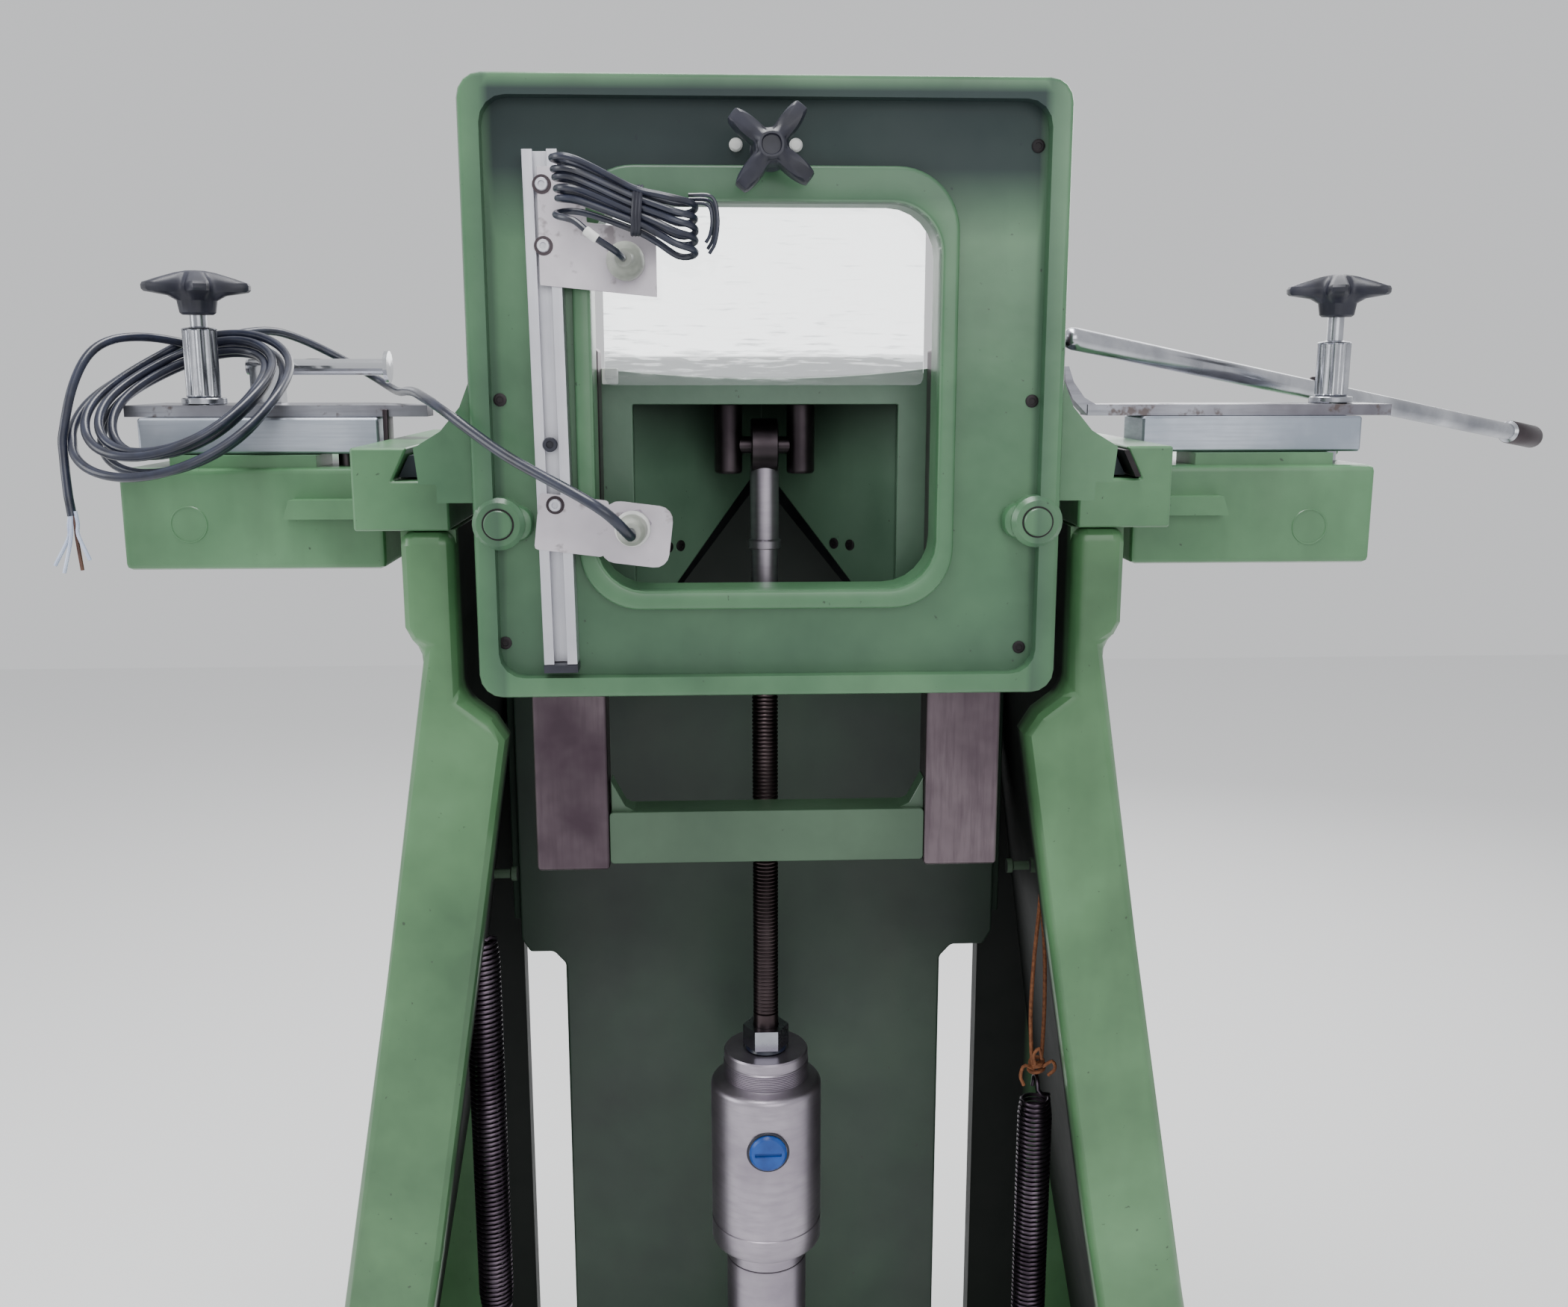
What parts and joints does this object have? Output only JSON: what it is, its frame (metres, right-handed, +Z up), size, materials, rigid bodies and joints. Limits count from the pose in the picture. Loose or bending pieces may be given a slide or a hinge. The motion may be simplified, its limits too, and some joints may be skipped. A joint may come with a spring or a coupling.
{
  "type": "mitre guillotine",
  "caption": "Floor-standing mitre guillotine for picture-frame moulding: sliding saddle with a window, V-set knives on vertical guide bars, and an air cylinder with a pull rod below",
  "frame": {"origin": "centre of the bounding box's footprint, on the floor under the feet", "axes": "+X to the operator's right, +Y away from the operator, +Z up"},
  "size_m": [1.1012, 0.4905, 1.17],
  "materials": {
    "hammered_green_paint": "satin",
    "dark_green_paint": "satin",
    "ground_steel": "brushed",
    "bright_steel": "polished",
    "oiled_steel": "satin",
    "anodised_aluminium": "satin",
    "zinc_sheet": "satin",
    "cylinder_grey": "satin",
    "black_plastic": "matte",
    "blue_plastic": "matte",
    "clear_guard": "glossy",
    "bare_cast_iron": "matte",
    "brown_twine": "matte",
    "black_cable": "satin"
  },
  "bodies": {
    "body": {"left_side_frame": "hammered_green_paint", "right_side_frame": "hammered_green_paint", "foot_left": "bare_cast_iron", "foot_right": "bare_cast_iron", "rear_column": "dark_green_paint", "base_crossmember": "hammered_green_paint", "guideway_left": "hammered_green_paint", "guideway_right": "hammered_green_paint", "gib_strip": "bare_cast_iron", "table_arm_left": "hammered_green_paint", "table_arm_right": "hammered_green_paint", "centre_table": "ground_steel", "clamp_pillar_left": "bright_steel", "clamp_pillar_right": "bright_steel", "fence_pivot_left": "oiled_steel", "fence_pivot_right": "oiled_steel", "spring_left": "oiled_steel", "spring_right": "oiled_steel", "pivot_bracket": "hammered_green_paint", "base_pivot_pin": "bright_steel", "lever_bracket": "dark_green_paint", "lever_pin": "bright_steel", "lead_coil": "black_cable", "lead_tail": "black_cable", "spring_twine": "brown_twine"},
    "saddle": {"saddle_casting": "hammered_green_paint", "bar_keeper_left": "ground_steel", "bar_keeper_right": "ground_steel", "sensor_rail": "anodised_aluminium", "rail_end_cap": "black_plastic", "upper_switch_bracket": "zinc_sheet", "lower_switch_bracket": "zinc_sheet", "upper_switch": "oiled_steel", "lower_switch": "oiled_steel", "blade_guard": "clear_guard", "switch_lead_hank": "black_cable", "lower_switch_lead": "black_cable"},
    "guard_knob": {"guard_knob": "black_plastic"},
    "knife_carriage": {"knife_block": "hammered_green_paint", "knife_left": "bright_steel", "knife_right": "bright_steel", "guide_bar_left": "ground_steel", "guide_bar_right": "ground_steel", "lower_crossbar": "hammered_green_paint", "knife_clevis": "bright_steel"},
    "cylinder": {"cylinder_head": "cylinder_grey", "cylinder_barrel": "cylinder_grey", "cylinder_end_cap": "cylinder_grey", "port_plug": "blue_plastic"},
    "piston_rod": {"piston_rod": "ground_steel", "lock_nut": "oiled_steel", "rod_eye": "oiled_steel"},
    "hand_lever": {"hand_lever": "bright_steel"},
    "star_knob_left": {"star_knob_left": "black_plastic"},
    "star_knob_right": {"star_knob_right": "black_plastic"},
    "fence_left": {"fence_bar_left": "anodised_aluminium", "fence_plate_left": "bare_cast_iron", "stop_rod": "bright_steel"},
    "fence_right": {"fence_bar_right": "anodised_aluminium", "fence_plate_right": "bare_cast_iron"}
  },
  "joints": [
    {"name": "saddle_slide", "type": "slide", "parent": "body", "child": "saddle", "axis": [0, 1, 0], "range_m": [-0.04, 0.04], "deforming": ["lower_switch_lead"]},
    {"name": "knife_slide", "type": "slide", "parent": "saddle", "child": "knife_carriage", "axis": [0, 0, 1], "range_m": [0, 0.13]},
    {"name": "guard_knob_turn", "type": "hinge", "parent": "saddle", "child": "guard_knob", "pos_m": [-0.1325, -0.1907, 1.13], "axis": [0, 1, 0], "range_deg": [0, 350]},
    {"name": "cylinder_swing", "type": "hinge", "parent": "body", "child": "cylinder", "pos_m": [-0.1325, -0.1007, 0.132], "axis": [1, 0, 0], "range_deg": [-2.6, 2.6]},
    {"name": "rod_slide", "type": "slide", "parent": "cylinder", "child": "piston_rod", "axis": [0, 0, 1], "range_m": [0, 0.13]},
    {"name": "hand_lever_swing", "type": "hinge", "parent": "body", "child": "hand_lever", "pos_m": [0.2755, 0.051, 1.0016], "axis": [0, 0, 1], "range_deg": [-10, 8]},
    {"name": "left_clamp_turn", "type": "hinge", "parent": "body", "child": "star_knob_left", "pos_m": [-0.4925, -0.0207, 1.05], "axis": [0, 0, 1], "range_deg": [0, 350]},
    {"name": "right_clamp_turn", "type": "hinge", "parent": "body", "child": "star_knob_right", "pos_m": [0.254, -0.0127, 1.05], "axis": [0, 0, 1], "range_deg": [0, 350]},
    {"name": "left_fence_swing", "type": "hinge", "parent": "body", "child": "fence_left", "pos_m": [-0.4025, -0.0257, 0.957], "axis": [0, 0, -1], "range_deg": [0, 6]},
    {"name": "right_fence_swing", "type": "hinge", "parent": "body", "child": "fence_right", "pos_m": [0.1375, -0.0257, 0.957], "axis": [0, 0, 1], "range_deg": [0, 8]}
  ],
  "couplings": [
    {"joint": "cylinder_swing", "follows": "saddle_slide", "rad_per_m": -1.0989},
    {"joint": "rod_slide", "follows": "knife_slide", "ratio": 1}
  ]
}
